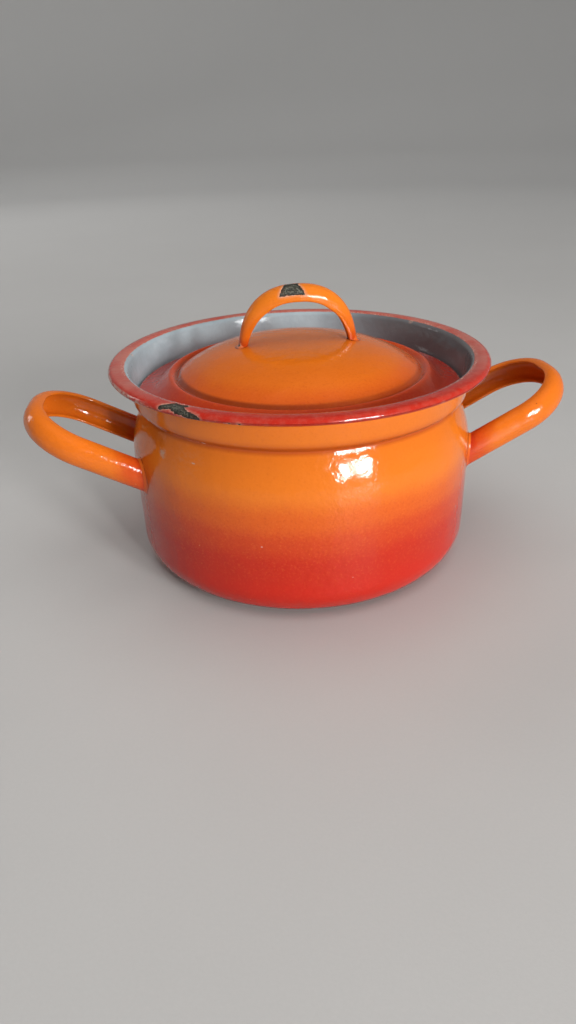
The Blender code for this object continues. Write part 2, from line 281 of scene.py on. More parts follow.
class Graph:
    """A material's nodes, with positions in millimetres."""

    def __init__(self, name):
        self.material = bpy.data.materials.new(name)
        self.material.use_nodes = True
        self.nodes = self.material.node_tree.nodes
        self.links = self.material.node_tree.links
        self.nodes.clear()
        place = self.nodes.new("ShaderNodeTexCoord").outputs["Object"]
        scale = self.nodes.new("ShaderNodeVectorMath")
        scale.operation = "SCALE"
        self.links.new(place, scale.inputs[0])
        scale.inputs["Scale"].default_value = 1.0 / MM
        self.place = scale.outputs[0]
        parts = self.nodes.new("ShaderNodeSeparateXYZ")
        self.links.new(self.place, parts.inputs[0])
        self.x, self.y, self.z = parts.outputs

    def put(self, socket, value):
        if isinstance(value, bpy.types.NodeSocket):
            self.links.new(value, socket)
        else:
            socket.default_value = value

    def math(self, operation, first, second=0.0):
        node = self.nodes.new("ShaderNodeMath")
        node.operation = operation
        for socket, value in zip(node.inputs, (first, second)):
            self.put(socket, value)
        return node.outputs[0]

    def add(self, first, second):
        return self.math("ADD", first, second)

    def mul(self, first, second):
        return self.math("MULTIPLY", first, second)

    def smooth(self, value, low, high, out_low=0.0, out_high=1.0):
        node = self.nodes.new("ShaderNodeMapRange")
        node.interpolation_type = "SMOOTHSTEP"
        sockets = (value, low, high, out_low, out_high)
        for socket, item in zip(node.inputs, sockets):
            self.put(socket, item)
        return node.outputs[0]

    def moved(self, shift, stretch=None):
        """The place, squeezed by the stretch and moved by the shift."""
        mapping = self.nodes.new("ShaderNodeMapping")
        mapping.inputs["Location"].default_value = (shift, shift, shift)
        mapping.inputs["Scale"].default_value = stretch or (1.0, 1.0, 1.0)
        self.links.new(self.place, mapping.inputs["Vector"])
        return mapping.outputs[0]

    def noise(self, size, detail=2.0, roughness=0.5, stretch=None, shift=0.0):
        """Noise from 0 to 1 whose features are about size millimetres across."""
        node = self.nodes.new("ShaderNodeTexNoise")
        node.inputs["Scale"].default_value = 1.0 / size
        node.inputs["Detail"].default_value = detail
        node.inputs["Roughness"].default_value = roughness
        vector = self.moved(shift, stretch) if shift or stretch else self.place
        self.links.new(vector, node.inputs["Vector"])
        return node.outputs["Fac"]

    def specks(self, size, reach, shift=0.0):
        """1 inside small round dots, one per cell of the size, of which few reach far."""
        node = self.nodes.new("ShaderNodeTexVoronoi")
        node.inputs["Scale"].default_value = 1.0 / size
        self.links.new(self.moved(shift), node.inputs["Vector"])
        pick = self.nodes.new("ShaderNodeSeparateColor")
        self.links.new(node.outputs["Color"], pick.inputs[0])
        speck = self.smooth(pick.outputs[0], SPECK_SHARE, 1.0, 0.0, reach)
        gap = self.math("SUBTRACT", speck, node.outputs["Distance"])
        return self.smooth(gap, 0.0, 0.25 * reach)

    def radius(self):
        """Distance from the pot's axis in millimetres."""
        return self.math("SQRT", self.add(self.mul(self.x, self.x), self.mul(self.y, self.y)))

    def swayed(self, value, noise, span):
        """The value moved up and down by a noise, over this span."""
        return self.add(value, self.add(self.mul(noise, span), -0.5 * span))

    def attribute(self, name):
        node = self.nodes.new("ShaderNodeAttribute")
        node.attribute_name = name
        return node.outputs["Fac"]

    def mix(self, share, first, second):
        node = self.nodes.new("ShaderNodeMix")
        node.data_type = "RGBA"
        self.put(node.inputs["Factor"], share)
        for name, value in (("A", first), ("B", second)):
            socket = [s for s in node.inputs if s.name == name and s.type == "RGBA"][0]
            self.put(socket, value)
        return [s for s in node.outputs if s.type == "RGBA"][0]

    def ramp(self, value, low, high, stops):
        """Colours blended along the value, each stop (value, colour)."""
        share = self.math("DIVIDE", self.math("SUBTRACT", value, low), high - low)
        node = self.nodes.new("ShaderNodeValToRGB")
        node.color_ramp.interpolation = "EASE"
        elements = node.color_ramp.elements
        while len(elements) > 1:
            elements.remove(elements[-1])
        for index, (at, shade) in enumerate(stops):
            position = (at - low) / (high - low)
            element = elements[0] if index == 0 else elements.new(position)
            element.position = position
            element.color = shade
        self.links.new(share, node.inputs[0])
        return node.outputs["Color"]

    def blob(self, centre, reach, blur=0.5):
        """1 near a point in millimetres, falling to 0 at the reach (x, y, z)."""
        total = None
        for axis, middle, far in zip((self.x, self.y, self.z), centre, reach):
            part = self.math("DIVIDE", self.math("SUBTRACT", axis, middle), far)
            square = self.mul(part, part)
            total = square if total is None else self.add(total, square)
        rough = self.noise(BLOB_GRAIN, 4.0, 0.6, shift=centre[0])
        distance = self.swayed(self.math("SQRT", total), rough, 0.8)
        return self.smooth(distance, 1.0, 1.0 - blur)

    def bump(self, height):
        """A surface normal for the height, in millimetres."""
        node = self.nodes.new("ShaderNodeBump")
        node.inputs["Distance"].default_value = MM
        self.put(node.inputs["Height"], height)
        return node.outputs[0]

    def surface(self, colour, roughness, normal, gloss=0.5):
        shader = self.nodes.new("ShaderNodeBsdfPrincipled")
        self.put(shader.inputs["Base Color"], colour)
        self.put(shader.inputs["Roughness"], roughness)
        self.put(shader.inputs["Specular IOR Level"], gloss)
        shader.inputs["IOR"].default_value = GLAZE_IOR
        self.links.new(normal, shader.inputs["Normal"])
        out = self.nodes.new("ShaderNodeOutputMaterial")
        self.links.new(shader.outputs[0], out.inputs["Surface"])
        return self.material


# How much less a surface reflects than its screen colour, because the lamps are strong.
EXPOSURE = 0.66


def shade(red, green, blue, strength=EXPOSURE):
    """Reflectance of a surface that shows as this screen colour, 0 to 255, in full light."""
    linear = []
    for part in (red, green, blue):
        part /= 255.0
        linear.append(part / 12.92 if part <= 0.04045 else ((part + 0.055) / 1.055) ** 2.4)
    return (*[strength * part for part in linear], 1.0)


ORANGE = shade(246, 128, 34)
ORANGE_DEEP = shade(232, 100, 26)
RED_ORANGE = shade(216, 70, 24)
RED = shade(206, 44, 19)
RED_DEEP = shade(212, 38, 18)
RIM_RED = shade(198, 44, 28)
RIM_RED_WORN = shade(200, 104, 88)
LINING = shade(178, 192, 197)
LINING_DARK = shade(146, 158, 164)
STEEL = shade(30, 30, 26)
STEEL_LIGHT = shade(124, 123, 108)
STEEL_RUST = shade(84, 62, 44)
GROUND = shade(222, 182, 160)
BASE_DARK = shade(66, 34, 26)
# Painted shade in the groove below the collar.
GROOVE_SHADE = shade(176, 54, 16)


def chipped_surface(graph, colour, roughness):
    """Enamel, with bare steel and a pale broken edge where the depth into a chip is positive."""
    inside = graph.attribute("chip")
    edge = graph.noise(0.8, 3.0, 0.65)
    depth = graph.swayed(inside, edge, 1.4)
    middle = graph.smooth(depth, 0.3, 1.8, 0.25, 1.0)
    fleck = graph.smooth(graph.noise(0.9, 4.0, 0.75), 0.42, 0.62)
    steel = graph.mix(graph.mul(fleck, middle), STEEL, STEEL_LIGHT)
    steel = graph.mix(graph.smooth(depth, 0.9, 0.0, 0.0, 0.8), steel, shade(10, 9, 7))
    rust = graph.smooth(graph.noise(2.4, 2.0, 0.6, shift=4.0), 0.52, 0.66, 0.0, 0.5)
    steel = graph.mix(rust, steel, STEEL_RUST)
    bare = graph.smooth(depth, -0.06, 0.06)
    broken = graph.smooth(graph.noise(1.7, 3.0, 0.6, shift=9.0), 0.42, 0.58)
    rubbed = graph.mul(graph.smooth(inside, -1.9, -0.3), 0.26)
    colour = graph.mix(rubbed, colour, GROUND)
    halo = graph.mul(graph.smooth(depth, -0.42, -0.2), graph.add(graph.mul(broken, 0.75), 0.08))
    colour = graph.mix(halo, colour, GROUND)
    colour = graph.mix(bare, colour, steel)
    roughness = graph.add(graph.mul(bare, 0.45), roughness)
    return graph.surface(colour, roughness, enamel_bump(graph, bare))


def enamel_bump(graph, bare=None):
    """Orange peel, slow waves and fine dust in the glaze, in millimetres of height."""
    peel = graph.mul(graph.noise(4.6, 2.0, 0.5), 0.24)
    slow = graph.mul(graph.noise(17.0, 1.0, 0.4, shift=3.0), 0.36)
    dust = graph.mul(graph.noise(1.7, 2.0, 0.6), 0.06)
    pits = graph.mul(graph.specks(3.1, 0.15, shift=50.0), -0.03)
    height = graph.add(graph.add(graph.add(peel, slow), dust), pits)
    if bare is not None:
        pitted = graph.mul(graph.noise(0.5, 3.0, 0.7, shift=7.0), 0.16)
        height = graph.add(height, graph.mul(bare, pitted))
    return graph.bump(height)


def enamel_roughness(graph):
    smears = graph.smooth(graph.noise(9.0, 3.0, 0.6, shift=5.0), 0.35, 0.75, 0.0, 0.10)
    fine = graph.mul(graph.noise(0.8, 2.0, 0.6), 0.05)
    return graph.add(graph.add(smears, fine), 0.075)


def speckled(graph, colour, amount=1.0):
    """Fine light and dark grain of a sprayed glaze, and a few pale and dark specks."""
    grain = graph.noise(1.25, 3.0, 0.7, shift=2.0)
    lighter = graph.mul(graph.smooth(grain, 0.52, 0.72, 0.0, 0.14), amount)
    darker = graph.mul(graph.smooth(grain, 0.48, 0.28, 0.0, 0.20), amount)
    colour = graph.mix(lighter, colour, shade(250, 140, 60))
    colour = graph.mix(darker, colour, shade(168, 44, 16))
    pale = graph.mul(graph.specks(7.5, 0.06), 0.5)
    dark = graph.mul(graph.specks(13.0, 0.036, shift=21.0), 0.6)
    colour = graph.mix(pale, colour, shade(250, 170, 110))
    return graph.mix(dark, colour, shade(86, 30, 14))


def pot_colour(graph):
    """Orange sprayed from the shoulder down into red, blended in a soft grainy band."""
    cloud = graph.noise(26.0, 2.0, 0.5)
    grain = graph.noise(0.9, 2.0, 0.6)
    level = graph.swayed(graph.swayed(graph.z, cloud, 7.0), grain, 9.0)
    stops = [(14.0, RED_DEEP), (32.0, RED), (44.0, RED_ORANGE), (56.0, ORANGE_DEEP), (70.0, ORANGE)]
    return graph.ramp(level, 8.0, 82.0, stops)


# Small pale nicks on the wall, and a longer pale streak at the groove on the left that is a painted
# highlight: centre and reach of each in millimetres.
WALL_NICKS = [
    ((-59.6, -66.1, 79.5), (1.5, 1.5, 0.45)),
    ((-53.8, -66.4, 89.5), (1.8, 1.8, 0.6)),
    ((-73.0, -49.2, 90.0), (3.2, 4.6, 0.7)),
    ((-31.0, -86.6, 43.0), (0.7, 0.9, 0.6)),
    ((12.0, -91.2, 24.0), (0.8, 0.9, 0.5)),
    ((58.0, 71.4, 50.0), (1.6, 1.6, 0.7)),
    ((-40.0, 82.8, 34.0), (1.2, 1.2, 1.6)),
]


def wall_layers(graph):
    """The sprayed wall, with painted shade in the groove, darker at the foot, and the worn ring it
    stands on.
    """
    band = graph.mul(graph.smooth(graph.z, 16.0, 34.0), graph.smooth(graph.z, 70.0, 52.0))
    colour = speckled(graph, pot_colour(graph), graph.add(graph.mul(band, 0.9), 0.5))
    # Painted shade along the groove below the collar.
    groove = graph.mul(graph.smooth(graph.z, 95.5, 90.0), graph.smooth(graph.z, 86.2, 88.6))
    colour = graph.mix(graph.mul(groove, 0.62), colour, GROOVE_SHADE)
    foot = graph.smooth(graph.z, 3.4, 1.0)
    colour = graph.mix(graph.mul(foot, 0.55), colour, BASE_DARK)
    radius = graph.radius()
    ring = graph.mul(graph.smooth(radius, 60.0, 63.0), graph.smooth(radius, 75.0, 72.5))
    worn = graph.mul(ring, graph.smooth(graph.noise(3.0, 4.0, 0.7), 0.40, 0.60))
    worn = graph.mul(worn, graph.smooth(graph.z, 0.9, 0.4))
    return graph.mix(worn, colour, STEEL), worn


def rim_red(graph, along):
    """The rim's red, mottled and grainy, with a painted pale sheen on top towards the back."""
    mottle = graph.smooth(graph.noise(5.0, 4.0, 0.65), 0.40, 0.72, 0.0, 0.38)
    colour = graph.mix(mottle, RIM_RED, RIM_RED_WORN)
    grain = graph.smooth(graph.noise(0.6, 2.0, 0.6, shift=6.0), 0.56, 0.78, 0.0, 0.35)
    colour = graph.mix(grain, colour, shade(226, 120, 96))
    flat_top = graph.smooth(along, 9.4, 7.0)
    # Painted sheen: the top of the rim paled towards the back, in patches.
    back_sheen = graph.mul(graph.smooth(graph.y, -72.0, -25.0), flat_top)
    patch = graph.smooth(graph.noise(14.0, 3.0, 0.6, shift=26.0), 0.30, 0.62, 0.30, 0.75)
    return graph.mix(graph.mul(back_sheen, patch), colour, shade(206, 124, 108))


def rim_layers(graph, colour, along, wobbled):
    """Red rim with a rubbed inner edge and a flaking outer edge, and a painted highlight along the
    outer edge on the left; along runs outward over it.
    """
    rim = graph.mul(graph.smooth(wobbled, 0.9, 1.2), graph.smooth(along, 17.0, 16.4))
    colour = graph.mix(rim, colour, rim_red(graph, along))

    inner_band = graph.mul(graph.smooth(along, 1.0, 1.7), graph.smooth(along, 4.0, 2.2))
    dotted = graph.smooth(graph.noise(0.75, 3.0, 0.7, shift=12.0), 0.50, 0.60)
    patches = graph.smooth(graph.noise(24.0, 2.0, 0.5, shift=17.0), 0.40, 0.60)
    pale = graph.mul(graph.mul(inner_band, dotted), graph.add(graph.mul(patches, 0.7), 0.15))
    colour = graph.mix(pale, colour, GROUND)

    # Flaking all round, and on the left a wider, fuller pale line along the outer edge that is a
    # painted highlight.
    left = graph.smooth(graph.x, -70.0, -88.0)
    band_start = graph.add(graph.mul(left, -1.6), 10.6)
    outer_band = graph.smooth(graph.math("SUBTRACT", along, band_start), 0.0, 1.2)
    outer_band = graph.mul(outer_band, graph.smooth(along, 14.6, 13.0))
    flakes = graph.smooth(graph.noise(2.1, 4.0, 0.62, shift=30.0), 0.56, 0.62)
    stretch = graph.smooth(graph.noise(38.0, 1.0, 0.5, shift=41.0), 0.50, 0.66)
    left_edge_highlight = graph.smooth(graph.noise(3.4, 4.0, 0.65, shift=60.0), 0.40, 0.56, 0.0, 0.85)
    edge_wear_and_highlight = graph.math("MAXIMUM", graph.mul(flakes, stretch), graph.mul(left, left_edge_highlight))
    colour = graph.mix(graph.mul(outer_band, edge_wear_and_highlight), colour, shade(206, 168, 150))
    return colour, pale


def stained_lining(graph, size):
    """Grey lining with soft stains of this size and a fine pale mottle."""
    stain = graph.smooth(graph.noise(size, 4.0, 0.6), 0.35, 0.75)
    lining = graph.mix(graph.mul(stain, 0.6), LINING, LINING_DARK)
    mottled = graph.smooth(graph.noise(0.8, 2.0, 0.6, shift=8.0), 0.5, 0.8, 0.0, 0.22)
    return graph.mix(mottled, lining, shade(196, 202, 206))


def pot_lining(graph):
    """The pot's lining, specked, with painted shade near the right of the rim and browner at the
    bottom.
    """
    lining = stained_lining(graph, 30.0)
    speck = graph.mul(graph.specks(8.0, 0.05, shift=33.0), 0.8)
    lining = graph.mix(speck, lining, shade(64, 66, 70))
    # Painted shade: the lining darkened towards the right of the rim, where the inner wall lies in
    # shadow.
    right_lining_shade = graph.smooth(graph.add(graph.x, graph.mul(graph.y, 0.25)), 38.0, 84.0)
    right_lining_shade = graph.mul(right_lining_shade, graph.smooth(graph.z, 80.0, 94.0, 0.15, 0.8))
    lining = graph.mix(right_lining_shade, lining, shade(92, 84, 84))
    bottom = graph.smooth(graph.z, 40.0, 2.0, 0.0, 0.35)
    return graph.mix(bottom, lining, shade(126, 118, 108))


def wall_wear_and_reflection(graph):
    """Streaky pale patches near the left handle that are wear and a painted reflection, a faint
    haze, and the small nicks.
    """
    # Painted reflection: two pale streaky patches beside the left handle, where the light at the
    # back left reflects.
    high = graph.blob((-82.4, -41.5, 82.0), (3.4, 3.4, 5.6))
    low = graph.blob((-76.0, -50.5, 79.5), (4.5, 4.5, 3.6))
    haze = graph.blob((-64.0, -64.0, 80.0), (15.0, 15.0, 12.0), 1.0)
    streaky = graph.smooth(graph.noise(1.6, 4.0, 0.7, (0.5, 0.5, 1.0)), 0.42, 0.66)
    scuffs_and_reflection = graph.math("MAXIMUM", high, low)
    scuffs_and_reflection = graph.mul(scuffs_and_reflection, graph.add(graph.mul(streaky, 0.6), 0.25))
    scuffs_and_reflection = graph.math("MAXIMUM", scuffs_and_reflection, graph.mul(graph.mul(haze, streaky), 0.12))
    nicks = 0.0
    for centre, reach in WALL_NICKS:
        nicks = graph.math("MAXIMUM", nicks, graph.blob(centre, reach, 0.8))
    return graph.math("MAXIMUM", scuffs_and_reflection, graph.mul(nicks, 0.9))


def pot_material():
    graph = Graph("pot_look")
    along = graph.attribute("along")
    wobbled = graph.swayed(along, graph.noise(2.6, 3.0, 0.6), 0.9)
    colour, worn = wall_layers(graph)
    colour, pale = rim_layers(graph, colour, along, wobbled)
    lined = graph.smooth(wobbled, 1.75, 1.3)
    colour = graph.mix(lined, colour, pot_lining(graph))
    outside = graph.math("SUBTRACT", 1.0, lined)
    # Pale wear marks and a painted reflection on the outside of the wall, made rougher.
    scuffs_and_reflection = graph.mul(wall_wear_and_reflection(graph), outside)
    colour = graph.mix(scuffs_and_reflection, colour, shade(206, 182, 164))
    roughness = graph.add(enamel_roughness(graph), graph.mul(scuffs_and_reflection, 0.35))
    roughness = graph.add(roughness, graph.mul(graph.math("MAXIMUM", worn, pale), 0.2))
    return chipped_surface(graph, colour, roughness)


def lid_material():
    graph = Graph("lid_look")
    along = graph.attribute("along")
    cloud = graph.noise(22.0, 2.0, 0.5)
    grain = graph.noise(0.9, 2.0, 0.6)
    radius = graph.radius()
    level = graph.swayed(graph.swayed(radius, cloud, 6.0), grain, 6.0)
    stops = [
        (20.0, shade(236, 122, 28)),
        (50.0, shade(234, 114, 26)),
        (61.0, shade(226, 98, 26)),
        (68.0, shade(208, 70, 26)),
        (73.0, shade(202, 58, 27)),
        (82.0, shade(188, 45, 27)),
    ]
    colour = speckled(graph, graph.ramp(level, 0.0, 90.0, stops))
    # Painted shade: a dark band in the valley round the dome's foot, stronger on the left.
    valley_shade = graph.mul(graph.smooth(radius, 62.0, 63.6), graph.smooth(radius, 67.0, 65.6))
    valley_shade = graph.mul(valley_shade, graph.smooth(graph.x, 30.0, -30.0, 0.35, 0.75))
    colour = graph.mix(valley_shade, colour, shade(128, 48, 14))
    under = graph.smooth(along, 0.25, 0.75)
    colour = graph.mix(under, colour, stained_lining(graph, 24.0))
    edge = graph.mul(graph.smooth(radius, 84.2, 85.6), graph.smooth(along, 0.8, 0.2))
    flakes = graph.smooth(graph.noise(1.6, 4.0, 0.62, shift=30.0), 0.58, 0.64)
    colour = graph.mix(graph.mul(edge, flakes), colour, GROUND)
    return graph.surface(colour, enamel_roughness(graph), enamel_bump(graph))


def loop_material():
    graph = Graph("loop_look")
    cloud = graph.noise(12.0, 2.0, 0.5)
    level = graph.swayed(graph.radius(), cloud, 10.0)
    # Darker red towards the wall: painted shade and a painted reflection of the red wall.
    stops = [
        (90.0, shade(204, 50, 20)),
        (98.0, shade(222, 84, 24)),
        (108.0, shade(242, 122, 30)),
    ]
    colour = speckled(graph, graph.ramp(level, 84.0, 150.0, stops), 0.7)
    # Pale flaked line at the tip of the left loop: worn glaze and a painted highlight.
    tip = graph.mul(graph.smooth(graph.x, -138.0, -145.0), graph.smooth(graph.z, 90.0, 78.0))
    flakes = graph.smooth(graph.noise(1.8, 4.0, 0.62, shift=30.0), 0.40, 0.60)
    colour = graph.mix(graph.mul(tip, graph.mul(flakes, 0.5)), colour, shade(214, 170, 130))
    return graph.surface(colour, enamel_roughness(graph), enamel_bump(graph))


def bow_material():
    graph = Graph("bow_look")
    cloud = graph.noise(10.0, 2.0, 0.5)
    level = graph.swayed(graph.z, cloud, 8.0)
    # Darker red at the feet on the dome: painted shade.
    stops = [(114.0, shade(206, 66, 20)), (123.0, shade(238, 114, 26)), (134.0, shade(247, 132, 34))]
    colour = speckled(graph, graph.ramp(level, 108.0, 150.0, stops), 0.7)
    return chipped_surface(graph, colour, enamel_roughness(graph))


def weld_material(name, on_lid):
    graph = Graph(name)
    crease = graph.attribute("crease")
    if on_lid:
        colour = speckled(graph, shade(232, 104, 28), 0.8)
    else:
        colour = speckled(graph, graph.mix(0.35, pot_colour(graph), shade(226, 84, 24)), 0.8)
    # Darker towards the outer crease where the weld meets the wall or dome: dirt and painted shade.
    crease_dirt_and_shade = graph.smooth(graph.noise(2.4, 3.0, 0.6, shift=15.0), 0.30, 0.62)
    crease_dirt_and_shade = graph.mul(graph.mul(crease_dirt_and_shade, 0.85), graph.smooth(crease, 0.70, 0.95))
    colour = graph.mix(crease_dirt_and_shade, colour, shade(92, 30, 14))
    return chipped_surface(graph, colour, enamel_roughness(graph))


def floor_material():
    graph = Graph("floor_look")
    mottle = graph.noise(180.0, 3.0, 0.6)
    grain = graph.noise(1.4, 3.0, 0.6)
    colour = graph.mix(mottle, shade(205, 203, 200), shade(214, 212, 209))
    colour = graph.mix(graph.mul(grain, 0.25), colour, shade(188, 186, 184))
    radius = graph.radius()
    far = graph.smooth(radius, 500.0, 2600.0)
    colour = graph.mix(far, colour, shade(224, 223, 221, 0.82))
    normal = graph.bump(graph.mul(grain, 0.05))
    return graph.surface(colour, 0.55, normal, 0.7)


# -------------------- pot


# The outside of the wall from the groove down to the base, as (radius, height, fillet).
OUTER_WALL = [
    (*GROOVE, 1.0),
    SHOULDER_END,
    SHOULDER_START,
    (WALL_RADIUS, WALL_BULGE_HEIGHT, 0.0),
    (WALL_FOOT_RADIUS, 0.0, BASE_FILLET),
]
WALL_PATH = fine_path([(*COLLAR_FOOT, 0.0), *OUTER_WALL, (BASE_RING_RADIUS, 0.0, 0.0)])


def wall_radius(height):
    """Outside radius of the pot wall at heights between the base and the groove."""
    path = WALL_PATH[(WALL_PATH[:, 1] > 2.0) & (WALL_PATH[:, 1] < GROOVE[1] - 0.6)][::-1]
    return np.interp(height, path[:, 1], path[:, 0])


def pot_path():
    wall_inner = WALL_RADIUS - SHEET
    corners = [
        (0.0, BASE_RECESS + SHEET, 0.0),
        (BASE_RING_RADIUS - 4.0, BASE_RECESS + SHEET, 3.0),
        (BASE_RING_RADIUS, SHEET, 3.0),
        (WALL_FOOT_RADIUS - SHEET, SHEET, BASE_FILLET - SHEET),
        (wall_inner, WALL_BULGE_HEIGHT, 0.0),
        (wall_inner, SHOULDER_HEIGHT, SHOULDER_FILLET - SHEET),
        (*NECK, 2.4),
        (*SEAT, 1.0),
        (RIM_INNER_RADIUS, RIM_HEIGHT - 0.9, 2.8),
        (94.8, RIM_HEIGHT, 14.0),
        (RIM_RADIUS, RIM_HEIGHT - 0.5, 2.4),
        (RIM_RADIUS, RIM_LIP_HEIGHT, 1.5),
        (RIM_RADIUS - 4.0, RIM_LIP_HEIGHT, 1.2),
        (RIM_RADIUS - 4.6, COLLAR_TOP[1], 0.4),
        (*COLLAR_TOP, 1.2),
        (*COLLAR_FOOT, 3.0),
        *OUTER_WALL,
        (BASE_RING_RADIUS, 0.0, 3.0),
        (BASE_RING_RADIUS - 4.0, BASE_RECESS, 3.0),
        (0.0, BASE_RECESS, 0.0),
    ]
    return fine_path(corners, 0.45, 3.4)


# Chip on the rolled rim, as (degrees round the pot, millimetres out from the inner edge).
RIM_CHIP = [
    (-136.9, 10.0), (-136.1, 7.8), (-135.1, 5.8), (-134.4, 4.4), (-133.8, 2.4), (-132.6, 3.8),
    (-131.1, 2.8), (-129.4, 3.0), (-128.6, 4.4), (-129.5, 5.6), (-128.8, 7.0), (-127.8, 7.8),
    (-127.2, 8.5), (-125.6, 9.2), (-123.8, 10.2), (-123.0, 11.6), (-123.3, 13.0),
    (-125.4, 13.5), (-127.8, 12.6), (-129.3, 11.4), (-130.7, 10.7), (-131.9, 10.0),
    (-133.2, 9.4), (-134.3, 9.9), (-135.5, 10.4), (-136.3, 11.2),
]

RIM_CHIP_MIDDLE = -130.5

# Small chips, as (degrees, millimetres out, radius).
RIM_NICKS = [
    (-73.6, 0.9, 0.8), (-70.9, 1.2, 0.5), (-112.5, 12.6, 0.7), (-115.2, 13.0, 0.5),
    (-58.0, 12.2, 0.5), (34.0, 1.0, 0.6), (82.0, 11.8, 1.1), (131.0, 12.4, 0.7),
    (168.0, 0.8, 0.6),
]


def rim_chips(angles, out):
    """Signed distance in millimetres into the nearest chip of the rim."""
    turn = np.degrees(angles)
    turn = (turn + 180.0) % 360.0 - 180.0
    scale = math.radians(1.0) * RIM_RADIUS
    spot = np.stack([turn * scale, out], axis=1)
    shape = [(a * scale, b) for a, b in RIM_CHIP]
    best = np.full(len(spot), NO_CHIP)
    near = np.abs(turn - RIM_CHIP_MIDDLE) < 9.0
    best[near] = polygon_distance(spot[near], shape) + 0.22 * ragged(spot[near], SEED)
    for index, (middle, distance_out, reach) in enumerate(RIM_NICKS):
        close = np.abs(turn - middle) < 3.0
        away = spot[close] - (middle * scale, distance_out)
        nick = reach - np.linalg.norm(away, axis=1) + 0.25 * ragged(spot[close], SEED + index + 1)
        best[close] = np.maximum(best[close], nick)
    return np.clip(best, NO_CHIP, -NO_CHIP)


# Zones round the rim that hold chips, as (low, high, step) in degrees.
CHIP_ZONES = [
    (222.5, 238.5, 0.2), (243.5, 249.0, 0.4), (285.4, 290.0, 0.5), (301.0, 303.0, 0.4),
    (33.0, 35.0, 0.4), (81.0, 83.5, 0.5), (130.0, 132.0, 0.4), (167.0, 169.0, 0.4),
]
# A point of the bead's top, this far out from its inner edge, and its distance along the outline.
BEAD_MARK = 4.75
BEAD_MARK_ALONG = 5.2
# The outline's stretch that can be chipped.
RIM_STRETCH = (-1.0, 17.0)


def along_rim(path):
    """Distance of each point of the pot's outline from the rim's inner edge."""
    lengths = path_lengths(path)
    on_bead = (path[:, 0] > RIM_INNER_RADIUS + BEAD_MARK) & (path[:, 1] > RIM_HEIGHT - 1.5)
    return lengths - lengths[int(np.argmax(on_bead))] + BEAD_MARK_ALONG


def wall_dents(turn, height):
    """Slow unevenness of the wall in millimetres, fading out at the base and the rim."""
    body = np.clip((height - 12.0) / 12.0, 0.0, 1.0) * np.clip((104.0 - height) / 10.0, 0.0, 1.0)
    round_it = waves(np.stack([np.cos(turn), np.sin(turn)], 1) * 6.0, 21, low=0.4, high=1.2)
    up_it = waves(np.stack([np.sin(2 * turn) * 5.0, height * 0.05], 1), 22)
    return body * (0.07 * round_it + 0.05 * up_it)


def build_pot():
    path = pot_path()
    along = along_rim(path)
    angles = turn_angles(CHIP_ZONES)
    points, faces = lathe(path, angles)
    ring_along = np.repeat(along[1:-1], len(angles))
    turn = np.tile(angles, len(path) - 2)
    chip = np.full(len(turn), NO_CHIP)
    rim = (ring_along > RIM_STRETCH[0]) & (ring_along < RIM_STRETCH[1])
    chip[rim] = rim_chips(turn[rim], ring_along[rim])

    inward = np.repeat(right_of(np.gradient(path, axis=0)[1:-1]), len(angles), axis=0)
    rough = 0.05 * waves(np.stack([turn * RIM_RADIUS, ring_along], 1), 5)
    depth = chip_cut(chip, 0.32, 0.35) + np.where(chip > 0.0, rough, 0.0)
    move = inward[:, 0] * depth + wall_dents(turn, points[:-2, 2])
    points[:-2, 0] += move * np.cos(turn)
    points[:-2, 1] += move * np.sin(turn)
    points[:-2, 2] += inward[:, 1] * depth
    attributes = {
        "along": np.concatenate([ring_along, [along[0], along[-1]]]),
        "chip": np.concatenate([chip, [NO_CHIP, NO_CHIP]]),
    }
    return make_object("pot_shell", points, faces, attributes)


# -------------------- lid


def dome_height(radius):
    share = np.minimum(np.abs(radius) / DOME_RADIUS, 1.0)
    return DOME_FOOT + DOME_RISE * (1.0 - share**DOME_POWER)


def build_lid():
    radii = np.linspace(0.0, DOME_RADIUS - 1.2, 46)
    dome = np.stack([radii, dome_height(radii)], axis=1)
    corners = [
        tuple(dome[-1]) + (0.0,),
        (DOME_RADIUS, DOME_FOOT, 0.9),
        (*VALLEY, 0.9),
        (*RIDGE, 2.2),
        (*FLANGE_BREAK, 12.0),
        (LID_RADIUS - 3.0, LID_EDGE_TOP + 0.35, 0.0),
    ]
    face = np.vstack([dome[:-1], fine_path(corners, 0.35, 1.6)])
    under = face + right_of(np.gradient(face, axis=0)) * LID_SHEET
    under[0, 0] = 0.0
    hem_inner = LID_RADIUS - 2.76
    hem_bottom = LID_EDGE_TOP - 2.35
    hem = [
        (*face[-1], 0.0),
        (LID_RADIUS, LID_EDGE_TOP, 1.15),
        (LID_RADIUS, hem_bottom, 1.15),
        (hem_inner, hem_bottom, 0.9),
        (*under[-1], 0.0),
    ]
    edge = fine_path(hem, 0.35, 1.6)
    path = np.vstack([face, edge[1:-1], under[::-1]])
    lengths = path_lengths(path)
    bottom = len(face) + int(np.argmin(edge[1:-1, 1] + 0.001 * edge[1:-1, 0]))
    along = np.clip((lengths - lengths[bottom]) / 3.0 + 0.5, 0.0, 1.0)
    angles = turn_angles([])
    points, faces = lathe(path, angles)
    ring_along = np.repeat(along[1:-1], len(angles))
    radius = np.hypot(points[:-2, 0], points[:-2, 1])
    fade = np.clip((66.0 - radius) / 8.0, 0.0, 1.0)
    points[:-2, 2] -= fade * 0.05 * (1.0 + waves(points[:-2, :2] * 0.06, 31))
    points[-2:, 2] -= 0.05
    attributes = {"along": np.concatenate([ring_along, [along[0], along[-1]]])}
    return make_object("lid_shell", points, faces, attributes)


# -------------------- straps


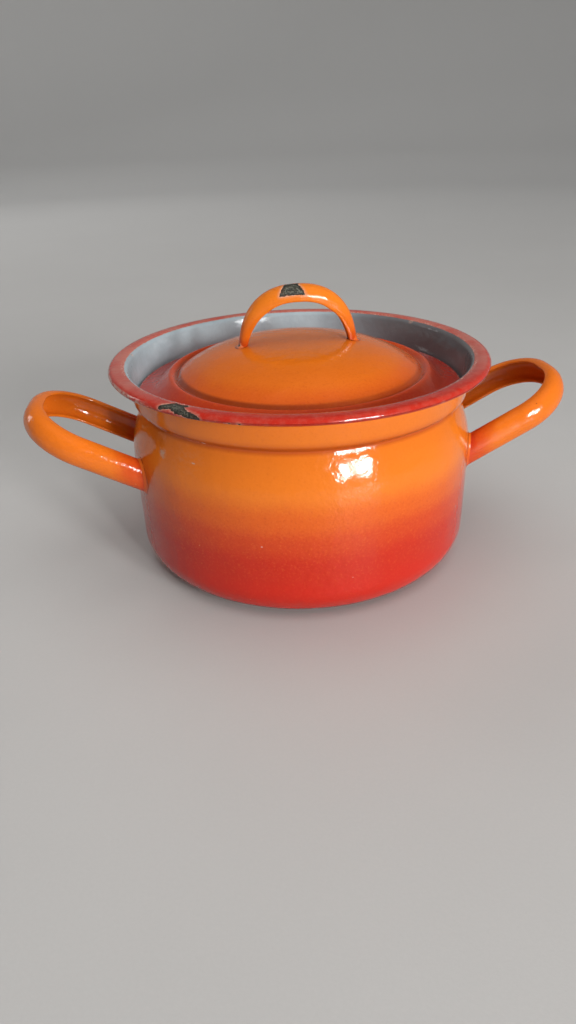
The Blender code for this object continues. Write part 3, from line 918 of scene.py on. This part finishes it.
def section_ring(half, depth, sheet, count=30):
    """Closed outline of an open channel of sheet with round lips, as (outward, across).

    The second value is each point's distance round the outer face, or INSIDE off that face.
    """
    turn = np.linspace(-0.5 * math.pi, 0.5 * math.pi, 241)
    bulge = np.maximum(np.cos(turn), 0.0) ** SECTION_POWER
    outer = np.stack([depth * (bulge - 0.5), half * np.sin(turn)], axis=1)
    lengths = path_lengths(outer)
    even = np.linspace(0.0, lengths[-1], count)
    outer = points_at(even, lengths, outer)
    normal = -right_of(np.gradient(outer, axis=0))
    normal[0] = (0.0, 1.0)
    normal[-1] = (0.0, -1.0)
    blend = np.clip(np.minimum(np.arange(count), np.arange(count)[::-1]) / 3.0, 0.0, 1.0)[:, None]
    lips = np.where(np.arange(count)[:, None] < count / 2, (0.0, 1.0), (0.0, -1.0))
    normal = normal * blend + lips * (1.0 - blend)
    normal /= np.linalg.norm(normal, axis=1)[:, None]
    inner = outer + normal * sheet
    caps = []
    for end, inside in ((outer[-1], inner[-1]), (inner[0], outer[0])):
        middle = 0.5 * (end + inside)
        arm = end - middle
        side = np.array((-1.0, 0.0)) * np.linalg.norm(arm)
        steps = np.linspace(0.0, math.pi, 8)[1:-1]
        caps.append([middle + arm * math.cos(a) + side * math.sin(a) * 0.9 for a in steps])
    ring = np.vstack([outer, caps[0], inner[::-1], caps[1]])
    girth = np.concatenate([
        even - 0.5 * lengths[-1],
        np.full(len(caps[0]) + count + len(caps[1]), INSIDE),
    ])
    return ring, girth


def strap_faces(stations, count, joined=False):
    """Faces of a strap of closed rings, with flat ends or joined end to end."""
    index = np.arange(stations * count).reshape(stations, count)
    if joined:
        return ring_quads(np.vstack([index, index[:1]]))
    return ring_quads(index) + [index[0].tolist(), index[-1][::-1].tolist()]


def ring_normals(ring):
    """Outward normals of a closed outline."""
    return right_of(np.roll(ring, -1, axis=0) - np.roll(ring, 1, axis=0))


def loop_frame(side):
    out = np.array((side * math.cos(LOOP_TILT), 0.0, math.sin(LOOP_TILT)))
    across = np.array((-side * math.sin(LOOP_TILT), 0.0, math.cos(LOOP_TILT)))
    root = np.array((side * LOOP_ROOT[0], 0.0, LOOP_ROOT[1]))
    return out, across, root


def slide_to_wall(points, out, gap):
    """How far along out, from each point, the wall's outside plus the gap lies."""
    low = np.full(len(points), -60.0)
    high = np.full(len(points), 40.0)
    for _ in range(40):
        middle = 0.5 * (low + high)
        here = points + middle[:, None] * out
        outside = np.hypot(here[:, 0], here[:, 1]) > wall_radius(here[:, 2]) + gap
        high = np.where(outside, middle, high)
        low = np.where(outside, low, middle)
    return 0.5 * (low + high)


# Rows of points along each leg of a loop, closer together near the wall, and round each bend.
LEG_ROWS = 26
LEG_SPACING = 1.4
BEND_ROWS = 44


def build_loop(name, side):
    """A loop handle swept from the wall, round its tip and back, and its two weld fillets."""
    out, across, root = loop_frame(side)
    ring, _ = section_ring(LOOP_SECTION[0], LOOP_SECTION[1], SHEET)
    sideways = np.array((0.0, 1.0, 0.0))
    bend_reach = LOOP_REACH - LOOP_CORNER
    bend_width = LOOP_HALF_WIDTH - LOOP_CORNER
    legs = {}
    for end in (1.0, -1.0):
        leg = end * sideways
        base = root + leg * LOOP_HALF_WIDTH + leg * ring[:, :1] + across * ring[:, 1:]
        legs[end] = (base, slide_to_wall(base, out, 0.05), leg)

    def leg_rows(end, shares):
        base, reach, _ = legs[end]
        return [base + out * (reach + (bend_reach - reach) * share)[:, None] for share in shares]

    shares = np.linspace(0.0, 1.0, LEG_ROWS) ** LEG_SPACING
    rows = leg_rows(1.0, shares[:-1])
    quarter = np.linspace(0.0, math.pi / 2, BEND_ROWS)
    for end, angles in ((1.0, quarter[::-1]), (-1.0, quarter)):
        leg = end * sideways
        middle = root + out * bend_reach + leg * bend_width
        for angle in angles:
            outward = out * math.cos(angle) + leg * math.sin(angle)
            rows.append(middle + outward * (LOOP_CORNER + ring[:, :1]) + across * ring[:, 1:])
    rows += leg_rows(-1.0, shares[:-1][::-1])
    faces = strap_faces(len(rows), len(ring))
    handle = make_object(name, np.vstack(rows), faces)
    flip_outward(handle)
    welds = []
    for end, end_name in ((-1.0, "front"), (1.0, "rear")):
        base, reach, leg = legs[end]
        normal = ring_normals(ring)
        spread = leg * normal[:, :1] + across * normal[:, 1:]
        welds.append(build_fillet(name + "_" + end_name + "_fillet", base, reach, out, spread))
    return handle, welds


def build_fillet(name, base, reach, out, spread):
    """Concave enamelled weld bead from the leg's outline onto the wall."""
    hit = base + out * reach[:, None]
    turn = np.arctan2(hit[:, 1], hit[:, 0])
    radial = np.stack([np.cos(turn), np.sin(turn), np.zeros(len(turn))], axis=1)
    flat = spread - radial * (spread * radial).sum(1)[:, None]
    flat /= np.maximum(np.linalg.norm(flat, axis=1), 1e-6)[:, None]
    rows = []
    shares = np.linspace(0.0, 1.0, 9)
    for share in shares:
        start = hit + out * WELD_REACH + spread * 0.05
        end = hit + flat * WELD_REACH
        corner = hit + spread * 0.16
        row = start * (1 - share) ** 2 + corner * 2 * share * (1 - share) + end * share**2
        if share > 0.3:
            radius = np.hypot(row[:, 0], row[:, 1])
            skin = wall_radius(row[:, 2]) + 0.02
            pull = np.where(share == 1.0, skin / radius, np.maximum(skin / radius, 1.0))
            row[:, :2] *= pull[:, None]
        rows.append(row)
    inner = hit.copy()
    radius = np.hypot(inner[:, 0], inner[:, 1])
    inner[:, :2] *= ((wall_radius(inner[:, 2]) + 0.02) / radius)[:, None]
    rows.append(inner - spread * 0.3)
    rows.append(hit + out * WELD_REACH - spread * 0.3)
    points = np.vstack(rows)
    faces = strap_faces(len(rows), len(hit), joined=True)
    crease = np.repeat(np.append(shares, [1.0, 0.0]), len(hit))
    attributes = {"chip": np.full(len(points), NO_CHIP), "crease": crease}
    obj = make_object(name, points, faces, attributes)
    flip_outward(obj)
    return obj


def flip_outward(obj):
    """Turn all faces the same way, outward."""
    work = bmesh.new()
    work.from_mesh(obj.data)
    bmesh.ops.recalc_face_normals(work, faces=work.faces[:])
    work.to_mesh(obj.data)
    work.free()
    obj.data.polygons.foreach_set("use_smooth", [True] * len(obj.data.polygons))


# Chip on the crown of the bow handle, as (millimetres along, millimetres round the section).
BOW_CHIP = [
    (-6.2, 2.6), (-6.4, -0.6), (-8.0, -3.4), (-11.0, -8.0), (-7.6, -8.6), (-2.0, -8.7),
    (3.8, -9.0), (2.0, -5.0), (0.5, -1.6), (1.3, 1.6), (-1.8, 2.2), (-3.4, 3.2),
]


# Steps along the bow in millimetres, inside and outside the zone that holds the chip.
BOW_STEPS = (0.32, 0.9)
BOW_CHIP_ZONE = (-12.0, 5.0)


def bow_curve():
    """Crest line of the bow as dense points, with each one's distance from the crown."""
    angle = np.linspace(0.0, math.pi, 2001)
    reach = -np.sign(np.cos(angle)) * np.abs(np.cos(angle)) ** (2.0 / BOW_POWER)
    rise = np.sin(angle) ** (2.0 / BOW_POWER)
    height = BOW_FOOT_HEIGHT + (BOW_CREST_HEIGHT - BOW_FOOT_HEIGHT) * rise
    points = np.stack([BOW_HALF_SPAN * reach, height], axis=1)
    lengths = path_lengths(points)
    return points, lengths - 0.5 * lengths[-1]


def bow_marks(total):
    """Distances from the crown at which the bow is cut into sections."""
    marks = []
    mark = -total
    while mark < total:
        marks.append(mark)
        mark += BOW_STEPS[0] if BOW_CHIP_ZONE[0] < mark < BOW_CHIP_ZONE[1] else BOW_STEPS[1]
    return np.array(marks + [total])


def bow_section(mark, total):
    """Outline of the bow at a distance from its crown, its depth, and its depth into the chip."""
    share = min(abs(mark) / total, 1.0)
    taper = math.cos(0.5 * math.pi * share) ** BOW_TAPER if share < 0.9999 else 0.0
    half = 0.5 * (BOW_WIDTHS[1] + (BOW_WIDTHS[0] - BOW_WIDTHS[1]) * taper)
    depth = BOW_DEPTHS[1] + (BOW_DEPTHS[0] - BOW_DEPTHS[1]) * min(1.0, 1.25 * taper)
    ring, girth = section_ring(half, depth, min(BOW_SHEET, 0.42 * depth), 44)
    spot = np.stack([np.full(len(girth), mark), girth], axis=1)
    chip = polygon_distance(spot, BOW_CHIP) + 0.12 * ragged(spot, SEED)
    chip = np.clip(np.where(girth == INSIDE, NO_CHIP, chip), NO_CHIP, -NO_CHIP)
    ring = ring - ring_normals(ring) * chip_cut(chip, 0.28, 0.3)[:, None]
    return ring, depth, chip


def build_bow():
    curve, lengths = bow_curve()
    marks = bow_marks(lengths[-1])
    before, crest, after = [points_at(marks + d, lengths, curve) for d in (-0.2, 0.0, 0.2)]
    outward = -right_of(after - before)
    rows, chips = [], []
    for index, mark in enumerate(marks):
        ring, depth, chip = bow_section(mark, lengths[-1])
        flat = crest[index] + (ring[:, :1] - 0.5 * depth) * outward[index]
        rows.append(np.stack([flat[:, 0], ring[:, 1], flat[:, 1]], axis=1))
        chips.append(chip)
    points = np.vstack(rows)
    floor = dome_height(np.hypot(points[:, 0], points[:, 1])) - 0.02
    points[:, 2] = np.maximum(points[:, 2], floor)
    faces = strap_faces(len(rows), len(rows[0]))
    bow = make_object("bow_strap", points, faces, {"chip": np.concatenate(chips)})
    flip_outward(bow)
    return bow


def build_bow_fillet(name, side):
    """Enamelled weld under one foot: a flared collar from the strap onto the dome."""
    count = 64
    turn = np.linspace(0.0, TURN, count, endpoint=False)
    middle = side * (BOW_HALF_SPAN - 0.5 * BOW_DEPTHS[1] - 0.1)
    rows, chips = [], []
    lump = 1.0 + 0.10 * np.sin(2.0 * turn + side) + 0.07 * np.sin(3.0 * turn)
    shares = np.linspace(0.0, 1.0, 12)
    for share in shares:
        flare = share**2.4
        grow = 0.12 + BOW_WELD_REACH * flare * lump
        x = middle + (0.5 * BOW_DEPTHS[1] + grow) * np.cos(turn)
        y = (0.5 * BOW_WIDTHS[1] + grow) * np.sin(turn)
        foot = dome_height(np.hypot(x, y))
        z = foot + 0.01 + BOW_WELD_RISE * (1.0 - share) ** 2.0
        rows.append(np.stack([x, y, z], axis=1))
        patch = np.cos(turn - (math.pi * 0.62 if side > 0 else -math.pi * 0.86))
        uneven = 0.25 * np.sin(5.0 * turn + 3.0 * share)
        chips.append(-0.95 + 1.3 * patch - 2.2 * abs(share - 0.30) + uneven)
    points = np.vstack(rows)
    faces = strap_faces(len(rows), count)
    crease = np.repeat(shares, count)
    obj = make_object(name, points, faces, {"chip": np.concatenate(chips), "crease": crease})
    flip_outward(obj)
    return obj


# -------------------- assembly


def attach(piece, body, material, node):
    piece.data.materials.clear()
    piece.data.materials.append(material)
    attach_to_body(piece, body)
    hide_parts(node)


def build_object():
    attach(build_pot(), "pot", pot_material(), "pot_body")
    attach(build_lid(), "lid", lid_material(), "lid")
    attach(build_bow(), "lid", bow_material(), "lid_handle")
    loop_look = loop_material()
    wall_weld = weld_material("wall_weld_look", False)
    dome_weld = weld_material("dome_weld_look", True)
    for name, side in (("left", -1.0), ("right", 1.0)):
        handle, welds = build_loop(name + "_loop", side)
        attach(handle, "pot", loop_look, name + "_handle")
        for weld, end in zip(welds, ("front", "rear")):
            node = name + "_handle_" + end + "_weld"
            attach(weld, "pot", wall_weld, node)
        foot = build_bow_fillet(name + "_bow_fillet", side)
        attach(foot, "lid", dome_weld, "lid_handle_" + name + "_weld")


# -------------------- stage


# Floor, in millimetres: its rings as (radius, height), and how far it lies below the base.
FLOOR_PROFILE = [
    (400.0, 0.0), (1200.0, 0.0), (2200.0, 0.0), (2700.0, 70.0), (3050.0, 280.0),
    (3250.0, 600.0), (3320.0, 1000.0), (3350.0, 4600.0),
]
FLOOR_GAP = 0.2


def build_floor():
    """A plain pale floor that curves up far away all round."""
    angles = np.linspace(0.0, TURN, 96, endpoint=False)
    count = len(angles)
    points = [(0.0, 0.0, -FLOOR_GAP)]
    for radius, height in FLOOR_PROFILE:
        level = height - FLOOR_GAP
        points += [(radius * math.cos(a), radius * math.sin(a), level) for a in angles]
    faces = [(0, 1 + k, 1 + (k + 1) % count) for k in range(count)]
    faces += ring_quads(np.arange(1, len(points)).reshape(-1, count))
    floor = make_object("studio_floor", points, faces)
    floor.data.materials.append(floor_material())


def point_at(obj, place, target):
    obj.location = place
    obj.rotation_euler = (Vector(target) - Vector(place)).to_track_quat("-Z", "Y").to_euler()


# Soft light panels as (azimuth from +X and elevation in degrees, distance, width and height in
# metres, power in watts, spread in degrees, seen in reflections).
LAMPS = {
    "window_left": (-69.8, 14.0, 2.2, 0.20, 0.52, 6.2, 90.0, True),
    "window_right": (-57.4, 14.0, 2.2, 0.33, 0.52, 7.8, 90.0, True),
    "left_rear": (152.0, 17.0, 2.2, 0.24, 0.70, 2.2, 180.0, True),
    "overhead": (-60.0, 78.0, 2.0, 2.4, 2.4, 34.0, 180.0, False),
    "back_fill": (120.0, 38.0, 2.2, 1.6, 1.2, 12.0, 180.0, False),
}
LAMP_TARGET = (0.0, 0.0, 0.07)
SKY_COLOUR = (0.93, 0.96, 1.0, 1.0)
SKY_STRENGTH = 0.11


def add_softbox(name, azimuth, elevation, distance, width, height, power, spread, reflected):
    lamp = bpy.data.lights.new(name, "AREA")
    lamp.shape = "RECTANGLE"
    lamp.size = width
    lamp.size_y = height
    lamp.energy = power
    lamp.spread = math.radians(spread)
    obj = new_object(name, lamp)
    turn, lift = math.radians(azimuth), math.radians(elevation)
    flat = distance * math.cos(lift)
    rise = distance * math.sin(lift) + LAMP_TARGET[2]
    point_at(obj, (flat * math.cos(turn), flat * math.sin(turn), rise), LAMP_TARGET)
    obj.visible_camera = False
    obj.visible_glossy = reflected


def build_lights():
    for name, settings in LAMPS.items():
        add_softbox(name, *settings)
    world = bpy.data.worlds.new("studio")
    world.use_nodes = True
    background = world.node_tree.nodes["Background"]
    background.inputs["Color"].default_value = SKY_COLOUR
    background.inputs["Strength"].default_value = SKY_STRENGTH
    bpy.context.scene.world = world


# Camera: turn to the right, look down and lean, in degrees; place in metres; lens in millimetres.
CAMERA_ANGLES = (6.246, 27.9, -2.013)
CAMERA_PLACE = (-0.0519, -0.3964, 0.2255)
CAMERA_LENS = 26.88
CAMERA_SENSOR = 36.0


def build_camera():
    """The view from the front, looking down on the pot."""
    yaw, pitch, roll = [math.radians(angle) for angle in CAMERA_ANGLES]
    flat = math.cos(pitch)
    forward = Vector((math.sin(yaw) * flat, math.cos(yaw) * flat, -math.sin(pitch)))
    level = Vector((math.cos(yaw), -math.sin(yaw), 0.0))
    lifted = level.cross(forward)
    right = level * math.cos(roll) + lifted * math.sin(roll)
    up = lifted * math.cos(roll) - level * math.sin(roll)
    camera = bpy.data.cameras.new("camera")
    camera.lens = CAMERA_LENS
    camera.sensor_width = CAMERA_SENSOR
    obj = new_object("camera", camera)
    matrix = Matrix((right, up, -forward)).transposed().to_4x4()
    matrix.translation = CAMERA_PLACE
    obj.matrix_world = matrix
    bpy.context.scene.camera = obj


def main():
    build_object()
    build_floor()
    build_lights()
    build_camera()
    bpy.context.scene.view_settings.view_transform = "Standard"


main()
